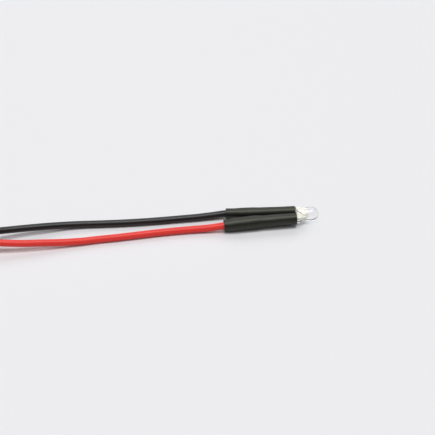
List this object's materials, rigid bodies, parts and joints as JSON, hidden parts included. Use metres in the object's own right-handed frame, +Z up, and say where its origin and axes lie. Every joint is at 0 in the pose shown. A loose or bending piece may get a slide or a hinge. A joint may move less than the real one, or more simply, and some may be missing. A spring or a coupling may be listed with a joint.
{
  "type": "pre-wired through hole LED",
  "caption": "Clear round-top through-hole LED, its leads soldered under shrink sleeves to a black and a red hook-up wire with tinned ends",
  "frame": {"origin": "the LED's axis at the front face of its flange", "axes": "+X along the LED's axis out of the dome, +Y towards the cathode lead and the flange's flat, +Z up from the surface the part lies on"},
  "size_m": [0.1093, 0.0145, 0.0037],
  "materials": {
    "clear_epoxy": "water-clear moulded epoxy, glossy",
    "plated_frame": "silver-plated, soft bright",
    "chip": "sawn semiconductor with a metal pad",
    "silver_glue": "dull silver-filled paste",
    "gold_wire": "drawn gold",
    "shrink_sleeve": "satin black polyolefin, slightly lumpy",
    "resistor_coat": "dipped coat",
    "tinned_copper": "hot-dipped tin, slightly dull",
    "solder": "smooth solder",
    "black_insulation": "satin PVC",
    "red_insulation": "satin PVC",
    "twist_tie": "plastic strip with a wire core"
  },
  "bodies": {
    "root": {"led_lens": "clear_epoxy", "cathode_lead": "plated_frame", "anode_lead": "plated_frame", "led_chip": "chip", "chip_adhesive": "silver_glue", "bond_wire": "gold_wire", "cathode_sleeve": "shrink_sleeve", "anode_sleeve": "shrink_sleeve", "resistor_body": "resistor_coat", "resistor_front_lead": "tinned_copper", "resistor_rear_lead": "tinned_copper", "cathode_solder": "solder", "anode_solder": "solder", "resistor_solder": "solder", "black_wire_strands": "tinned_copper", "red_wire_strands": "tinned_copper", "black_wire": "black_insulation", "red_wire": "red_insulation", "black_wire_hank": "black_insulation", "red_wire_hank": "red_insulation", "black_wire_tail": "black_insulation", "red_wire_tail": "red_insulation", "black_wire_end": "tinned_copper", "red_wire_end": "tinned_copper", "hank_tie": "twist_tie"}
  },
  "joints": []
}
